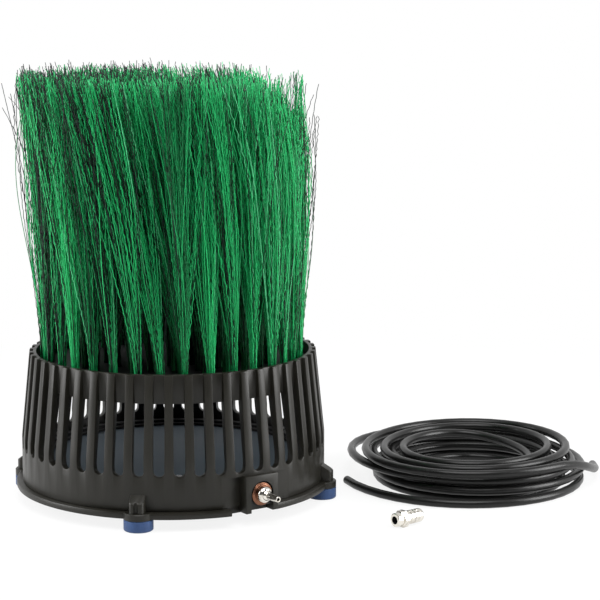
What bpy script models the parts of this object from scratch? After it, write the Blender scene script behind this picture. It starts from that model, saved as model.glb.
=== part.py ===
"""Pond air unit: a slotted, brush-topped aerator with its air hose and non-return valve.

Metres, +Z up. The origin is on the basket's axis at floor level, and the air inlet points along -Y.
"""

import math

import bmesh
import bpy
import numpy as np
from mathutils import Matrix, Vector

# Clearances
gap = 0.0003
boreClearance = 0.0003

# Basket housing
basketRadius = 0.1053
basketTaper = 0.0061
basketTop = 0.1023
basketTaperStart = 0.0440
ribDepth = 0.0045
slotCount = 48
slotWidth = 0.0076
slotBottom = 0.0354
slotTop = 0.0828
collarInset = 0.0025
collarWall = 0.0022
ledgeDepth = 0.0045
ledgeThickness = 0.0045
towerWidth = 0.0100
towerDepth = 0.0073
towerTop = 0.0240
towerFall = 0.0050

# Feet
footHeight = 0.0076
footRadius = 0.0099
footChamfer = 0.0012
footInset = 0.0003
footBore = 0.0020
footHeadDepth = 0.0040

# Base tray
trayFlange = 0.0042
trayPlate = 0.0030
trayRim = 0.0045
trayRimWidth = 0.0125
trayEdge = 0.0008

# Air inlet
inletHeight = 0.0208
inletPadWidth = 0.0255
inletPadDepth = 0.0047
inletPadTop = 0.0337
inletPadBottom = 0.0085
inletNotchRadius = 0.0087
inletNotchDepth = 0.0018
bayDepth = 0.0034
bayTop = 0.0330
trayCutLeft = 0.0223
trayCutRight = 0.0133
washerRadius = 0.0078
washerThickness = 0.0025
nutAcross = 0.0106
nutLength = 0.0050
nozzleLength = 0.0203
nozzleStemRadius = 0.0019
nozzleBarbRadius = 0.00225
nozzleBore = 0.0011
nozzleThread = 0.0032
nozzleThreadLength = 0.0105

# Diffuser
diffuserSpace = 0.0058
diffuserWall = 0.0120
diffuserFloor = 0.0025
chamberDepth = 0.0076
ballastSpace = 0.0030
ballastThickness = 0.0037
ductRadius = 0.0025
membraneInset = 0.0065
membraneThickness = 0.0020
sealInset = 0.0035
sealWidth = 0.0020
sealDepth = 0.0012
ringOverlap = 0.0030
ringStepWidth = 0.0040
ringLow = 0.0015
ringHigh = 0.0032
clampScrewCount = 6

# Brush
brushRecess = 0.0080
plateThickness = 0.0040
sliceThickness = 0.0020
brushTop = 0.2980
tuftInset = 0.0065
tuftRingPitch = 0.0210
tuftRings = 4
tuftPitch = 0.0163
tuftSpread = 0.0023
strandsPerTuft = 4
strandRadius = 0.00125
strandTipRadius = 0.0009
brushFlare = 1.08
brushLean = 0.0285

# Screws
screwHead = 0.0036
screwHeadHeight = 0.0020
screwShank = 0.0016
footScrewLength = 0.0180
clampScrewLength = 0.0120
brushScrewHead = 0.0018
brushScrewShank = 0.0011

# Air hose: a layer has its own shift, stretch and axis of stretch, which loosens the pile
hoseDiameter = 0.0060
coilCentre = (0.1987, -0.0880)
coilTurn = math.radians(-35.3)
coilStart = math.radians(191.9)
coilTurns = 11.5
coilLayers = 4
coilRadius = 0.0795
coilPitch = 0.0127
layerStep = 0.0065
climbTurns = 0.5
sweepTurns = 0.22
innerSweep = 0.0051
outerSweep = 0.0061
headTurns = 0.3
headLength = 0.0110
tailTurns = 0.263
tailLength = 0.0099
tailFlat = 0.4
layerShift = [(0.0, -0.003), (-0.0004, -0.003), (-0.0047, 0.0014), (-0.0021, -0.002)]
layerStretch = [(1.03, 1.13), (1.01, 1.09), (1.01, 1.155), (1.02, 1.145)]
layerAxis = [math.radians(angle) for angle in (0.0, -10.5, 27.6, -20.6)]
loopPoints = 24

# Non-return valve
valvePlace = (0.0771, -0.1671)
valveAngle = math.radians(4.7)
valveRadius = 0.0046
valveHexAcross = 0.0105
valveHexLength = 0.0060
valveBodyLength = 0.0150
valveEndLength = 0.0080
valveBore = 0.0033
valvePort = 0.0012
valveWall = 0.0012
poppetRadius = 0.0029
poppetLift = 0.0012
springWire = 0.0003
springTurns = 5

# Facets of the round pieces
traySegments = 60
discSegments = 36
smallSegments = 20
holeSegments = 10
sharpAngle = math.radians(35)

# Radii worked out from the basket's
basketTopRadius = basketRadius - basketTaper
collarRadius = basketTopRadius - collarInset
collarInner = collarRadius - collarWall
ledgeInner = collarInner - ledgeDepth
ledgeCircle = ledgeInner + ledgeDepth / 2
wallInner = basketRadius - ribDepth
trayRadius = basketRadius + trayFlange
towerReach = basketRadius + towerDepth
footCircle = basketRadius - footInset
outside = trayRadius + ribDepth
diffuserRadius = wallInner - diffuserSpace
chamberRadius = diffuserRadius - diffuserWall
ballastRadius = chamberRadius - ballastSpace
membraneRadius = diffuserRadius - membraneInset
sealRadius = chamberRadius + sealInset
ringInner = membraneRadius - ringOverlap
ringStep = ringInner + ringStepWidth
clampScrewCircle = (membraneRadius + gap + diffuserRadius) / 2 + gap
tuftRing = collarInner - tuftInset
bayPlane = basketRadius - bayDepth
inletPadReach = basketRadius + inletPadDepth
inletArmReach = inletPadReach - inletNotchDepth
nozzleTip = inletArmReach + nozzleLength
beyondInlet = nozzleTip + ribDepth

# Levels worked out from the sizes above
basketFlat = math.cos(math.pi / slotCount)
trayBottom = footHeight + gap
trayTop = trayBottom + trayRim
trayFloor = trayBottom + trayPlate
basketBottom = trayTop + gap
ballastBottom = trayFloor + gap
diffuserBottom = ballastBottom + ballastThickness + gap
chamberFloor = diffuserBottom + diffuserFloor
diffuserTop = chamberFloor + chamberDepth
membraneBottom = diffuserTop + gap
membraneTop = membraneBottom + membraneThickness
ringBottom = membraneTop + gap
plateTop = basketTop - brushRecess
sliceTop = plateTop + gap + sliceThickness
plateBottom = plateTop - plateThickness
ledgeTop = plateBottom - gap
ledgeBottom = ledgeTop - ledgeThickness
footAngles = {
    "foot_front_left": math.radians(225),
    "foot_front_right": math.radians(315),
    "foot_rear_right": math.radians(45),
    "foot_rear_left": math.radians(135),
}


def clearScene():
    for item in list(bpy.data.objects):
        bpy.data.objects.remove(item, do_unlink=True)


def newCollection(name):
    collection = bpy.data.collections.new(name)
    bpy.context.scene.collection.children.link(collection)
    return collection


def makeMaterial(name, colour, roughness, metallic=0.0):
    material = bpy.data.materials.new(name)
    material.use_nodes = True
    shader = material.node_tree.nodes["Principled BSDF"]
    shader.inputs["Base Color"].default_value = (*colour, 1.0)
    shader.inputs["Roughness"].default_value = roughness
    shader.inputs["Metallic"].default_value = metallic
    material.diffuse_color = (*colour, 1.0)
    return material


def addMesh(name, mesh, material=None):
    """Put a mesh in the part's collection, or among the cutters when it has no material."""
    item = bpy.data.objects.new(name, mesh)
    if material is None:
        cutterCollection.objects.link(item)
        item.hide_render = True
        item.display_type = "WIRE"
    else:
        partCollection.objects.link(item)
        mesh.materials.append(material)
    return item


def meshFrom(shape, name):
    bmesh.ops.recalc_face_normals(shape, faces=shape.faces)
    mesh = bpy.data.meshes.new(name)
    shape.to_mesh(mesh)
    shape.free()
    return mesh


def shadeRound(item):
    item.data.shade_smooth()
    item.data.set_sharp_from_angle(angle=sharpAngle)


def turned(name, profile, material=None, segments=discSegments, closed=True):
    """Turn a profile of (radius, height) about Z. It runs down the outer side, then up the inner."""
    mesh = bpy.data.meshes.new(name)
    points = [(radius, 0.0, height) for radius, height in profile]
    edges = [(k, k + 1) for k in range(len(points) - 1)]
    if closed:
        edges.append((len(points) - 1, 0))
    mesh.from_pydata(points, edges, [])
    item = addMesh(name, mesh, material)
    screw = item.modifiers.new("turn", "SCREW")
    screw.steps = segments
    screw.render_steps = segments
    screw.use_merge_vertices = True
    screw.merge_threshold = 0.00001
    screw.use_smooth_shade = False
    return item


def addBox(shape, low, high, matrix=None):
    """Add a box between two corners to a bmesh."""
    size = [b - a for a, b in zip(low, high)]
    middle = [(a + b) / 2 for a, b in zip(low, high)]
    place = Matrix.Translation(middle) @ Matrix.Diagonal((*size, 1.0))
    if matrix is not None:
        place = matrix @ place
    return bmesh.ops.create_cube(shape, size=1.0, matrix=place)["verts"]


def addRod(shape, radius, start, end, segments=smallSegments, endRadius=None):
    """Add a round or many-sided rod between two points to a bmesh."""
    start = Vector(start)
    end = Vector(end)
    axis = end - start
    turn = axis.to_track_quat("Z", "Y").to_matrix().to_4x4()
    place = Matrix.Translation((start + end) / 2) @ turn
    tip = radius if endRadius is None else endRadius
    return bmesh.ops.create_cone(
        shape,
        cap_ends=True,
        segments=segments,
        radius1=radius,
        radius2=tip,
        depth=axis.length,
        matrix=place,
    )["verts"]


def combine(item, other, operation="DIFFERENCE"):
    change = item.modifiers.new(operation.lower(), "BOOLEAN")
    change.operation = operation
    change.solver = "EXACT"
    change.object = other


def polar(radius, angle, height=0.0):
    return Vector((radius * math.cos(angle), radius * math.sin(angle), height))


def spin(angle):
    return Matrix.Rotation(angle, 4, "Z")


def makeFeet(rubber):
    """Four rubber feet, each a turned pad with a pocket for its screw's head."""
    headPocket = screwHead + boreClearance
    profile = [
        (footRadius, footHeight),
        (footRadius, footChamfer),
        (footRadius - footChamfer, 0.0),
        (headPocket, 0.0),
        (headPocket, footHeadDepth),
        (footBore, footHeadDepth),
        (footBore, footHeight),
    ]
    for name, angle in footAngles.items():
        foot = turned(name, profile, rubber, segments=smallSegments)
        foot.location = polar(footCircle, angle)


def makeScrew(name, place, head, shank, length, steel, headUp):
    """A turned screw. Its place is where the head's underside sits, and its shank leads away."""
    if headUp:
        profile = [
            (0.0, screwHeadHeight),
            (head, screwHeadHeight),
            (head, 0.0),
            (shank, 0.0),
            (shank, -length),
            (0.0, -length),
        ]
    else:
        profile = [
            (0.0, length),
            (shank, length),
            (shank, 0.0),
            (head, 0.0),
            (head, -screwHeadHeight),
            (0.0, -screwHeadHeight),
        ]
    screw = turned(name, profile, steel, segments=holeSegments, closed=False)
    screw.location = place


def makeFootScrews(steel):
    """The screws that hold the feet and the tray up against the basket's towers."""
    seat = footHeadDepth - gap
    for name, angle in footAngles.items():
        place = polar(footCircle, angle, seat)
        screwName = name.replace("foot", "foot_screw")
        makeScrew(screwName, place, screwHead, screwShank, footScrewLength, steel, headUp=False)


def screwHoles(name, circle, angles, radius, low, high):
    """Cutter for a ring of upright holes."""
    shape = bmesh.new()
    for angle in angles:
        addRod(shape, radius, polar(circle, angle, low), polar(circle, angle, high), segments=holeSegments)
    return addMesh(name, meshFrom(shape, name))


def makeTray(plastic):
    """Round flange under the basket, with a lobe over each foot and a gap at the inlet."""
    rimInner = trayRadius - trayRimWidth
    profile = [
        (0.0, trayFloor),
        (rimInner, trayFloor),
        (rimInner, trayTop),
        (trayRadius - trayEdge, trayTop),
        (trayRadius, trayTop - trayEdge),
        (trayRadius, trayBottom + trayEdge),
        (trayRadius - trayEdge, trayBottom),
        (0.0, trayBottom),
    ]
    tray = turned("base_tray", profile, plastic, segments=traySegments, closed=False)
    lobes = bmesh.new()
    for angle in footAngles.values():
        low = polar(footCircle, angle, trayBottom)
        addRod(lobes, footRadius, low, low + Vector((0, 0, trayRim)), segments=smallSegments)
    combine(tray, addMesh("tray_lobes", meshFrom(lobes, "tray_lobes")), "UNION")
    opening = bmesh.new()
    depth = wallInner - 2 * gap
    addBox(opening, (-trayCutLeft, -beyondInlet, 0.0), (trayCutRight, -depth, trayTop + trayRim))
    combine(tray, addMesh("tray_opening", meshFrom(opening, "tray_opening")))
    holes = screwHoles("tray_holes", footCircle, footAngles.values(), footBore, 0.0, trayTop + trayRim)
    combine(tray, holes)


def extrude(shape, outline, axis, reach):
    """Close a flat outline into a solid that reaches to a value along one axis."""
    face = shape.faces.new([shape.verts.new(point) for point in outline])
    moved = bmesh.ops.extrude_face_region(shape, geom=[face])["geom"]
    for vert in [item for item in moved if isinstance(item, bmesh.types.BMVert)]:
        vert.co[axis] = reach


def repeated(name, single, count):
    """Cutter of one shape, repeated round the Z axis."""
    mesh = meshFrom(single, name)
    shape = bmesh.new()
    for k in range(count):
        before = len(shape.verts)
        shape.from_mesh(mesh)
        shape.verts.ensure_lookup_table()
        bmesh.ops.transform(shape, matrix=spin(2 * math.pi * k / count), verts=shape.verts[before:])
    bpy.data.meshes.remove(mesh)
    return addMesh(name, meshFrom(shape, name))


def makeSlots():
    """Round-bottomed slots, right through the wall, on every slotCount-th part of the circle."""
    half = slotWidth / 2
    middle = slotBottom + half
    shape = bmesh.new()
    arc = [math.pi + math.pi * k / 4 for k in range(5)]
    outline = [(ledgeInner, -half, slotTop)]
    outline += [(ledgeInner, half * math.cos(a), middle + half * math.sin(a)) for a in arc]
    outline.append((ledgeInner, half, slotTop))
    extrude(shape, outline, 0, outside)
    return repeated("slots", shape, slotCount)


def makeCollarSlots():
    """The slots' upper part, cut only down to the collar."""
    half = slotWidth / 2
    shape = bmesh.new()
    low = (collarRadius, -half, slotTop - slotWidth / 4)
    addBox(shape, low, (outside, half, basketTop + slotWidth))
    return repeated("collar_slots", shape, slotCount)


def inletNotch(name, radius, near, far, low):
    """Inverted U across the inlet's axis, open at the bottom, from near to far along -Y."""
    arc = [math.pi * k / 8 for k in range(9)]
    outline = [(radius * math.cos(a), -near, inletHeight + radius * math.sin(a)) for a in arc]
    outline = [(radius, -near, low)] + outline + [(-radius, -near, low)]
    shape = bmesh.new()
    extrude(shape, outline, 1, -far)
    return meshFrom(shape, name)


def makeBasket(plastic):
    """Slotted wall with the inlet pad, the screw towers and the ledge that the brush plate sits on."""
    profile = [
        (basketTopRadius, basketTop),
        (basketRadius, basketTaperStart),
        (basketRadius, basketBottom),
        (wallInner, basketBottom),
        (wallInner, basketTaperStart),
        (collarInner, slotTop),
        (collarInner, ledgeBottom),
        (ledgeInner, ledgeBottom),
        (ledgeInner, ledgeTop),
        (collarInner, ledgeTop),
        (collarInner, basketTop),
    ]
    basket = turned("basket_housing", profile, plastic, segments=slotCount)
    basket.rotation_euler.z = math.pi / slotCount

    bay = bmesh.new()
    halfBay = inletPadWidth + inletPadWidth / 2
    addBox(bay, (-halfBay, -outside, 0.0), (halfBay, -bayPlane, bayTop))
    combine(basket, addMesh("inlet_bay", meshFrom(bay, "inlet_bay")))

    towers = bmesh.new()
    inner = footCircle - gap
    for angle in footAngles.values():
        low = (inner, -towerWidth / 2, basketBottom)
        high = (towerReach, towerWidth / 2, towerTop)
        verts = addBox(towers, low, high)
        for vert in verts:
            if vert.co.x > inner + gap and vert.co.z > basketBottom + gap:
                vert.co.z -= towerFall
        bmesh.ops.transform(towers, matrix=spin(angle), verts=verts)
    combine(basket, addMesh("towers", meshFrom(towers, "towers")), "UNION")

    pad = bmesh.new()
    half = inletPadWidth / 2
    addBox(pad, (-half, -inletPadReach, inletPadBottom), (half, -wallInner - gap, inletPadTop))
    combine(basket, addMesh("inlet_pad", meshFrom(pad, "inlet_pad")), "UNION")

    notch = inletNotch("notch", inletNotchRadius, chamberRadius, beyondInlet, 0.0)
    combine(basket, addMesh("inlet_notch", notch))

    holeTop = footHeadDepth + footScrewLength
    holes = screwHoles("tower_holes", footCircle, footAngles.values(), footBore, 0.0, holeTop)
    combine(basket, holes)
    low = ledgeBottom - ledgeThickness / 4
    holeRadius = brushScrewShank + boreClearance
    holes = screwHoles("ledge_holes", ledgeCircle, footAngles.values(), holeRadius, low, ledgeTop + gap)
    combine(basket, holes)
    combine(basket, makeSlots())
    combine(basket, makeCollarSlots())


def makeBallast(steel):
    profile = [
        (0.0, ballastBottom + ballastThickness),
        (ballastRadius, ballastBottom + ballastThickness),
        (ballastRadius, ballastBottom),
        (0.0, ballastBottom),
    ]
    turned("ballast_plate", profile, steel, closed=False)


def makeDiffuser(plastic):
    """Shallow air chamber with the inlet arm, the seal's groove and the clamp screws' holes."""
    sealInner = sealRadius - sealWidth / 2 - gap
    sealOuter = sealRadius + sealWidth / 2 + gap
    profile = [
        (0.0, chamberFloor),
        (chamberRadius, chamberFloor),
        (chamberRadius, diffuserTop),
        (sealInner, diffuserTop),
        (sealInner, diffuserTop - sealDepth),
        (sealOuter, diffuserTop - sealDepth),
        (sealOuter, diffuserTop),
        (diffuserRadius, diffuserTop),
        (diffuserRadius, diffuserBottom),
        (0.0, diffuserBottom),
    ]
    body = turned("diffuser_body", profile, plastic, closed=False)
    armRadius = inletNotchRadius - gap
    armLow = basketBottom
    arm = inletNotch("arm", armRadius, diffuserRadius - ribDepth, inletArmReach, armLow)
    arm = addMesh("inlet_arm", arm)
    band = turned(
        "arm_trim",
        [
            (diffuserRadius, inletPadTop),
            (diffuserRadius, diffuserTop - gap),
            (chamberRadius, diffuserTop - gap),
            (chamberRadius, inletPadTop),
        ],
    )
    combine(arm, band)
    combine(body, arm, "UNION")
    duct = bmesh.new()
    addRod(duct, ductRadius, (0, -chamberRadius + ribDepth, inletHeight), (0, -beyondInlet, inletHeight))
    combine(body, addMesh("inlet_duct", meshFrom(duct, "inlet_duct")))
    thread = bmesh.new()
    threadEnd = inletArmReach - nozzleThreadLength - gap
    threadRadius = nozzleThread + boreClearance
    addRod(thread, threadRadius, (0, -threadEnd, inletHeight), (0, -beyondInlet, inletHeight))
    combine(body, addMesh("inlet_thread", meshFrom(thread, "inlet_thread")))
    low = ringBottom + ringHigh - clampScrewLength - gap
    holeRadius = screwShank + boreClearance
    holes = screwHoles("clamp_holes", clampScrewCircle, clampAngles(), holeRadius, low, ringBottom)
    combine(body, holes)


def clampAngles():
    """Angles of the clamp screws, half a step off the inlet arm."""
    return [2 * math.pi * (k + 0.5) / clampScrewCount - math.pi / 2 for k in range(clampScrewCount)]


def makeSeal(rubber):
    inner = sealRadius - sealWidth / 2
    outer = sealRadius + sealWidth / 2
    low = diffuserTop - sealDepth + gap
    profile = [(outer, diffuserTop), (outer, low), (inner, low), (inner, diffuserTop)]
    turned("membrane_seal", profile, rubber)


def makeMembrane(rubber):
    profile = [
        (0.0, membraneTop),
        (membraneRadius, membraneTop),
        (membraneRadius, membraneBottom),
        (0.0, membraneBottom),
    ]
    turned("air_membrane", profile, rubber, closed=False)


def makeClampRing(plastic):
    """Stepped ring that holds the membrane's edge, with a skirt outside it."""
    skirtInner = membraneRadius + gap
    profile = [
        (ringInner, ringBottom + ringLow),
        (ringStep, ringBottom + ringLow),
        (ringStep, ringBottom + ringHigh),
        (diffuserRadius, ringBottom + ringHigh),
        (diffuserRadius, membraneBottom),
        (skirtInner, membraneBottom),
        (skirtInner, ringBottom),
        (ringInner, ringBottom),
    ]
    ring = turned("clamp_ring", profile, plastic)
    top = ringBottom + 2 * ringHigh
    shank = screwShank + boreClearance
    combine(ring, screwHoles("ring_holes", clampScrewCircle, clampAngles(), shank, 0.0, top))


def makeClampScrews(steel):
    """Screws through the clamp ring into the chamber's wall."""
    seat = ringBottom + ringHigh + gap
    head = diffuserRadius - clampScrewCircle
    for number, angle in enumerate(clampAngles(), start=1):
        place = polar(clampScrewCircle, angle, seat)
        makeScrew(f"clamp_screw_{number}", place, head, screwShank, clampScrewLength, steel, headUp=True)


def makeBrushPlate(plastic):
    """Disc that the bristles stand on, screwed to the basket's ledge from below."""
    radius = collarInner * basketFlat - gap
    profile = [(0.0, plateTop), (radius, plateTop), (radius, plateBottom), (0.0, plateBottom)]
    plate = turned("brush_plate", profile, plastic, closed=False)
    holeRadius = brushScrewShank + boreClearance
    holes = screwHoles(
        "plate_holes",
        ledgeCircle,
        footAngles.values(),
        holeRadius,
        plateBottom - plateThickness,
        plateTop - plateThickness / 4,
    )
    combine(plate, holes)


def makeBrushScrews(steel):
    """Short screws up through the basket's ledge into the brush plate."""
    seat = ledgeBottom - gap
    length = plateTop - plateThickness / 4 - gap - seat
    for name, angle in footAngles.items():
        screwName = name.replace("foot", "brush_screw")
        place = polar(ledgeCircle, angle, seat)
        makeScrew(screwName, place, brushScrewHead, brushScrewShank, length, steel, headUp=False)


def strandTip(x, y):
    """Where a strand rooted at x, y ends. One straight flare and lean, so that no strands cross."""
    return Vector((x * brushFlare, y * brushFlare + brushLean, brushTop))


def makeBristleRing(name, rings, material):
    """The tufts of some rings, fused to a slice of the brush's backing."""
    outer = min(tuftRing - (min(rings) - 0.5) * tuftRingPitch, collarInner * basketFlat) - gap
    inner = tuftRing - (max(rings) + 0.5) * tuftRingPitch + gap
    low = plateTop + gap
    if max(rings) == tuftRings - 1:
        profile = [(0.0, sliceTop), (outer, sliceTop), (outer, low), (0.0, low)]
        item = turned(name, profile, material, segments=smallSegments, closed=False)
    else:
        profile = [(outer, sliceTop), (outer, low), (inner, low), (inner, sliceTop)]
        item = turned(name, profile, material, segments=smallSegments)
    strands = bmesh.new()
    for ring in rings:
        radius = tuftRing - ring * tuftRingPitch
        tufts = max(1, round(2 * math.pi * radius / tuftPitch))
        for k in range(tufts):
            angle = 2 * math.pi * (k + 0.5 * (ring % 2)) / tufts
            middle = polar(radius, angle)
            for strand in range(strandsPerTuft):
                corner = angle + 2 * math.pi * (strand + 0.5) / strandsPerTuft
                x, y, _ = middle + polar(tuftSpread, corner)
                tip = strandTip(x, y)
                root = Vector((x, y, sliceTop - sliceThickness / 2))
                addRod(strands, strandRadius, root, tip, segments=3, endRadius=strandTipRadius)
    combine(item, addMesh(name + "_strands", meshFrom(strands, "strands")), "UNION")


def makeNozzle(nickel, copper):
    """Sealing washer, dome nut and hose barb on the inlet arm, all on the inlet's axis."""
    face = inletArmReach + gap
    washerFace = face + washerThickness
    nutStart = washerFace + gap
    nutEnd = nutStart + nutLength
    stub = nozzleThread + boreClearance
    lay = Matrix.Translation((0, 0, inletHeight)) @ Matrix.Rotation(math.pi / 2, 4, "X")

    washer = turned(
        "inlet_washer",
        [(washerRadius, washerFace), (washerRadius, face), (stub, face), (stub, washerFace)],
        copper,
        segments=smallSegments,
    )
    washer.matrix_world = lay

    corner = nutAcross / math.sqrt(3)
    crown = nutLength / 3
    nut = turned(
        "inlet_nut",
        [
            (0.0, nutEnd),
            (corner - crown, nutEnd),
            (corner, nutEnd - crown),
            (corner, nutStart),
            (0.0, nutStart),
        ],
        nickel,
        segments=6,
        closed=False,
    )
    nut.matrix_world = lay
    hole = bmesh.new()
    addRod(hole, stub, (0, 0, face - nutLength), (0, 0, nutEnd + nutLength))
    hole = addMesh("nut_hole", meshFrom(hole, "nut_hole"))
    hole.matrix_world = lay
    combine(nut, hole)

    flange = nozzleThread
    barb = nozzleTip - 3 * nozzleBarbRadius
    turned(
        "inlet_nozzle",
        [
            (nozzleStemRadius, nozzleTip),
            (nozzleBarbRadius, barb),
            (nozzleStemRadius, barb - gap),
            (nozzleStemRadius, nutEnd + gap),
            (flange, nutEnd - nutLength / 5),
            (flange, inletArmReach - nozzleThreadLength),
            (nozzleBore, inletArmReach - nozzleThreadLength),
            (nozzleBore, nozzleTip),
        ],
        nickel,
        segments=smallSegments,
    ).matrix_world = lay


def smoothStep(share):
    share = min(1.0, max(0.0, share))
    return share * share * (3 - 2 * share)


def layerBlend(turn, values):
    """Value of a layer, blended across the half turn in which the spiral reverses."""
    width = coilTurns / coilLayers
    blended = np.array(values[0], dtype=float)
    for layer in range(1, coilLayers):
        share = smoothStep((turn - layer * width) / climbTurns + 0.5)
        blended += share * (np.array(values[layer], dtype=float) - np.array(values[layer - 1]))
    return blended


def coilRise(turn):
    """Radius and height of the hose after some turns: spirals in and out, a layer at a time."""
    width = coilTurns / coilLayers
    layer = min(coilLayers - 1, int(turn // width))
    along = turn - layer * width
    radius = coilRadius - coilPitch * (along if layer % 2 == 0 else width - along)
    height = hoseDiameter / 2
    for reverse in range(1, coilLayers):
        beyond = turn - reverse * width
        near = math.exp(-((beyond / sweepTurns) ** 2))
        radius += outerSweep * near if reverse % 2 == 0 else -innerSweep * near
        height += layerStep * smoothStep(beyond / climbTurns + 0.5)
    if turn < headTurns:
        radius += headLength * (1 - turn / headTurns) ** 1.5
    tail = 1 - (coilTurns - turn) / tailTurns
    if tail > 0:
        radius += tailLength * tail**1.5
        height -= (height - hoseDiameter / 2) * smoothStep((tail - tailFlat) / (1 - tailFlat))
    return radius, height


def coilPoint(turn):
    """Point on the hose's centreline, with the loop stretched into its layer's ellipse."""
    radius, height = coilRise(turn)
    shift = layerBlend(turn, layerShift)
    stretch = layerBlend(turn, layerStretch)
    axis = float(layerBlend(turn, layerAxis))
    angle = coilStart + 2 * math.pi * turn - axis
    loop = Vector((stretch[0] * radius * math.cos(angle), stretch[1] * radius * math.sin(angle), height))
    centre = Matrix.Translation((*coilCentre, 0.0)) @ spin(coilTurn)
    return centre @ (Vector((*shift, 0.0)) + spin(axis) @ loop)


def hoseRoute():
    steps = math.ceil(coilTurns * loopPoints)
    return [coilPoint(coilTurns * k / steps) for k in range(steps + 1)]


def leastGap(route, diameter):
    """Least space between turns, measured on points 2 mm apart and over 30 mm apart along the hose."""
    points = np.array(route)
    lengths = np.linalg.norm(np.diff(points, axis=0), axis=1)
    along = np.concatenate([[0.0], np.cumsum(lengths)])
    places = np.arange(0.0, along[-1], 0.002)
    dense = np.stack([np.interp(places, along, points[:, k]) for k in range(3)], axis=1)
    least = min(np.linalg.norm(dense[k + 15 :] - dense[k], axis=1).min() for k in range(len(dense) - 15))
    return least - diameter, along[-1]


def tube(name, route, diameter, material, resolution=1):
    curve = bpy.data.curves.new(name, "CURVE")
    curve.dimensions = "3D"
    curve.bevel_depth = diameter / 2
    curve.bevel_resolution = resolution
    curve.use_fill_caps = True
    line = curve.splines.new("POLY")
    line.points.add(len(route) - 1)
    for point, place in zip(line.points, route):
        point.co = (*place, 1.0)
    item = bpy.data.objects.new(name, curve)
    partCollection.objects.link(item)
    curve.materials.append(material)
    return item


def makeHose(rubber):
    route = hoseRoute()
    tube("air_hose_coil", route, hoseDiameter, rubber)
    space, length = leastGap(route, hoseDiameter)
    print(f"air hose: {length:.3f} m long, least gap between turns {space * 1000:.2f} mm")


def makeValve(nickel, rubber, steel):
    """Non-return valve lying beside the hose: body, end piece, seal, poppet and spring on one axis."""
    place = Matrix.Translation((*valvePlace, valveHexAcross / 2))
    lay = place @ Matrix.Rotation(valveAngle, 4, "Z") @ Matrix.Rotation(math.pi / 2, 4, "Y")
    start = -(valveBodyLength + valveEndLength) / 2
    joint = start + valveBodyLength
    end = joint + valveEndLength
    seat = start + valveHexLength
    bodyProfile = [
        (valveRadius, joint),
        (valveRadius, start + valveWall / 2),
        (valveRadius - valveWall / 2, start),
        (valvePort, start),
        (valvePort, seat),
        (valveBore, seat),
        (valveBore, joint),
    ]
    body = turned("valve_body", bodyProfile, nickel, segments=smallSegments)
    body.matrix_world = lay
    hexRing = bmesh.new()
    hexStart = start + valveHexLength / 2
    corner = valveHexAcross / math.sqrt(3)
    addRod(hexRing, corner, (0, 0, hexStart), (0, 0, hexStart + valveHexLength), segments=6)
    hexRing = addMesh("valve_hex", meshFrom(hexRing, "valve_hex"))
    hexRing.matrix_world = lay
    middle = (valveRadius + valveBore) / 2
    core = bmesh.new()
    addRod(core, middle, (0, 0, start - valveWall), (0, 0, joint), segments=smallSegments)
    core = addMesh("valve_core", meshFrom(core, "valve_core"))
    core.matrix_world = lay
    combine(hexRing, core)
    combine(body, hexRing, "UNION")

    spigot = valveBore - gap
    spigotEnd = joint + gap - valveWall
    endProfile = [
        (valvePort, end),
        (valveRadius - valveWall, end),
        (valveRadius, end - valveWall),
        (valveRadius, joint + gap),
        (spigot, joint + gap),
        (spigot, spigotEnd),
        (valvePort, spigotEnd),
    ]
    turned("valve_end", endProfile, nickel, segments=smallSegments).matrix_world = lay

    sealInner = poppetRadius - valveWall
    sealTop = seat + gap + valveWall
    turned(
        "valve_seal",
        [(spigot, sealTop), (spigot, seat + gap), (sealInner, seat + gap), (sealInner, sealTop)],
        rubber,
        segments=smallSegments,
    ).matrix_world = lay

    poppetLow = sealTop + gap
    poppetHigh = poppetLow + valveWall
    stem = valveWall / 2
    stemEnd = poppetHigh + valveWall
    turned(
        "valve_poppet",
        [
            (0.0, stemEnd),
            (stem, stemEnd),
            (stem, poppetHigh),
            (poppetRadius, poppetHigh),
            (poppetRadius, poppetLow),
            (0.0, poppetLow),
        ],
        steel,
        segments=smallSegments,
        closed=False,
    ).matrix_world = lay

    springLow = poppetHigh + gap + springWire
    springHigh = spigotEnd - gap - springWire
    coilPoints = 8 * springTurns
    radius = poppetRadius - 2 * springWire
    route = []
    for k in range(coilPoints + 1):
        angle = 2 * math.pi * k / 8
        height = springLow + (springHigh - springLow) * k / coilPoints
        route.append(lay @ Vector((radius * math.cos(angle), radius * math.sin(angle), height)))
    tube("valve_spring", route, 2 * springWire, steel)


clearScene()
partCollection = newCollection("brush_air_unit")
cutterCollection = newCollection("cutters")

blackPlastic = makeMaterial("black_plastic", (0.018, 0.018, 0.019), 0.45)
darkPlastic = makeMaterial("dark_plastic", (0.010, 0.010, 0.011), 0.5)
blueRubber = makeMaterial("blue_rubber", (0.015, 0.13, 0.42), 0.6)
greyRubber = makeMaterial("grey_rubber", (0.12, 0.16, 0.20), 0.7)
greenNylon = makeMaterial("green_nylon", (0.012, 0.34, 0.08), 0.4)
blackNylon = makeMaterial("black_nylon", (0.012, 0.014, 0.013), 0.4)
hoseRubber = makeMaterial("hose_rubber", (0.014, 0.014, 0.015), 0.35)
nickelMetal = makeMaterial("nickel", (0.62, 0.58, 0.50), 0.22, 1.0)
copperMetal = makeMaterial("copper", (0.72, 0.36, 0.22), 0.35, 1.0)
steelMetal = makeMaterial("steel", (0.55, 0.55, 0.56), 0.35, 1.0)

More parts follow.
